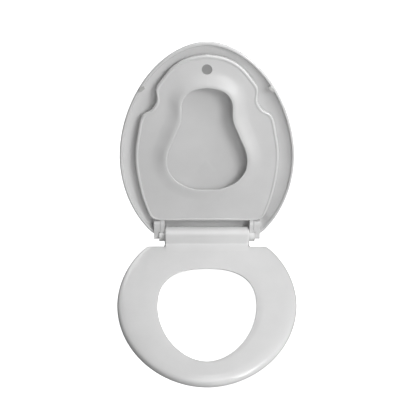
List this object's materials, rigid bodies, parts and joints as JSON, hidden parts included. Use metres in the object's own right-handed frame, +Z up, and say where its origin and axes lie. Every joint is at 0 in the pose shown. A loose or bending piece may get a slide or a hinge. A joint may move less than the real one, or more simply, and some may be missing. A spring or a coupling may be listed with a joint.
{
  "type": "family toilet seat",
  "caption": "Egg-shaped toilet seat with soft-closing lid and a smaller child training seat that nests in the lid, all turning on one hinge",
  "frame": {"origin": "midpoint between the two fixing studs on the plane where the gaskets meet the bowl rim", "axes": "+Z up, -Y towards the user (front of the seat), +X to the right seen from the front"},
  "size_m": [0.372, 0.5054, 0.5252],
  "materials": {
    "seat_white": "glossy white moulding",
    "child_white": "glossy white moulding",
    "lid_white": "glossy white moulding",
    "post_plastic": "white moulding",
    "nut_plastic": "white moulding, matte",
    "bush_plastic": "pale slippery plastic",
    "damper_plastic": "grey engineering plastic",
    "rotor_plastic": "natural engineering plastic",
    "plug_grey": "satin grey plastic",
    "magnet": "nickel plated",
    "steel": "stainless steel",
    "grey_rubber": "soft grey rubber",
    "pad_rubber": "soft pale rubber",
    "black_rubber": "black rubber ring"
  },
  "bodies": {
    "base": {"hinge_post_left": "post_plastic", "hinge_post_right": "post_plastic", "post_gaskets": "grey_rubber", "fixing_studs": "steel", "rubber_cones": "grey_rubber", "fixing_washers": "steel", "wing_nut_left": "nut_plastic", "wing_nut_right": "nut_plastic", "hinge_pin_left": "steel", "lid_damper_housing": "damper_plastic", "lid_damper_cap": "damper_plastic", "lid_damper_seal": "black_rubber", "seat_damper_rotor": "rotor_plastic"},
    "adult": {"adult_seat": "seat_white", "seat_bumpers": "pad_rubber", "seat_damper_housing": "damper_plastic", "seat_damper_cap": "damper_plastic", "seat_damper_seal": "black_rubber"},
    "child": {"child_seat": "child_white", "child_bushes": "bush_plastic", "spacer_washers": "bush_plastic", "child_magnet": "magnet", "magnet_plug": "plug_grey"},
    "lid": {"lid": "lid_white", "lid_magnet": "magnet", "lid_bumpers": "pad_rubber", "lid_damper_rotor": "rotor_plastic"}
  },
  "joints": [
    {"name": "lid_hinge", "type": "hinge", "parent": "base", "child": "lid", "pos_m": [0, -0.024, 0.03], "axis": [-1, 0, 0], "range_deg": [-98, 0]},
    {"name": "child_hinge", "type": "hinge", "parent": "lid", "child": "child", "pos_m": [0, -0.024, 0.03], "axis": [1, 0, 0], "range_deg": [0, 98]},
    {"name": "adult_hinge", "type": "hinge", "parent": "base", "child": "adult", "pos_m": [0, -0.024, 0.03], "axis": [-1, 0, 0], "range_deg": [0, 98]}
  ]
}
